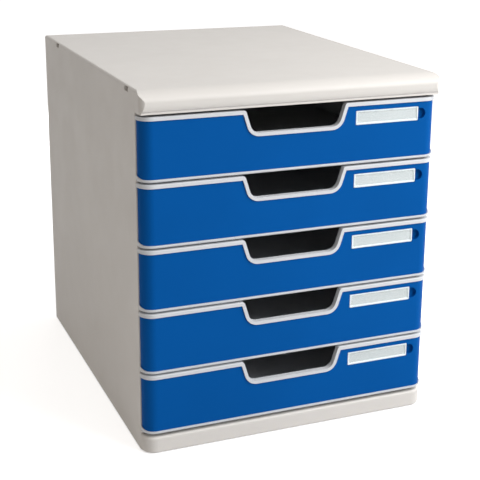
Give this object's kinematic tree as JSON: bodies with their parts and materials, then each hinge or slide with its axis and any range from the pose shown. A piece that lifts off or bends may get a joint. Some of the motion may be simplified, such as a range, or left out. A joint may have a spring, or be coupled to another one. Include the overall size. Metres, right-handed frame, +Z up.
{
  "type": "desktop drawer unit",
  "caption": "Desktop filing unit: light grey moulded case with a bullnose lid and shallow blue-fronted sliding drawers with finger scoops and label holders.",
  "frame": {"origin": "centre of the footprint, on the surface that the feet stand on", "axes": "+X to the right seen from the front, +Y from the drawer fronts to the back, +Z up"},
  "size_m": [0.278, 0.35, 0.3227],
  "materials": {
    "case_plastic": "fine satin texture",
    "tray_plastic": "satin",
    "blue_plastic": "satin",
    "label_card": "uncoated paper",
    "label_window": "clear",
    "foot_rubber": "matte"
  },
  "bodies": {
    "root": {"left_side_panel": "case_plastic", "right_side_panel": "case_plastic", "top_panel": "case_plastic", "back_panel": "case_plastic", "base_panel": "case_plastic", "front_left_foot": "foot_rubber", "front_right_foot": "foot_rubber", "rear_left_foot": "foot_rubber", "rear_right_foot": "foot_rubber"},
    "drawer_1": {"drawer_1_tray": "tray_plastic", "drawer_1_front_panel": "blue_plastic", "drawer_1_label_card": "label_card", "drawer_1_label_window": "label_window"},
    "drawer_2": {"drawer_2_tray": "tray_plastic", "drawer_2_front_panel": "blue_plastic", "drawer_2_label_card": "label_card", "drawer_2_label_window": "label_window"},
    "drawer_3": {"drawer_3_tray": "tray_plastic", "drawer_3_front_panel": "blue_plastic", "drawer_3_label_card": "label_card", "drawer_3_label_window": "label_window"},
    "drawer_4": {"drawer_4_tray": "tray_plastic", "drawer_4_front_panel": "blue_plastic", "drawer_4_label_card": "label_card", "drawer_4_label_window": "label_window"},
    "drawer_5": {"drawer_5_tray": "tray_plastic", "drawer_5_front_panel": "blue_plastic", "drawer_5_label_card": "label_card", "drawer_5_label_window": "label_window"}
  },
  "joints": [
    {"name": "drawer_1_slide", "type": "slide", "parent": "root", "child": "drawer_1", "axis": [0, -1, 0], "range_m": [0, 0.24]},
    {"name": "drawer_2_slide", "type": "slide", "parent": "root", "child": "drawer_2", "axis": [0, -1, 0], "range_m": [0, 0.24]},
    {"name": "drawer_3_slide", "type": "slide", "parent": "root", "child": "drawer_3", "axis": [0, -1, 0], "range_m": [0, 0.24]},
    {"name": "drawer_4_slide", "type": "slide", "parent": "root", "child": "drawer_4", "axis": [0, -1, 0], "range_m": [0, 0.24]},
    {"name": "drawer_5_slide", "type": "slide", "parent": "root", "child": "drawer_5", "axis": [0, -1, 0], "range_m": [0, 0.24]}
  ]
}
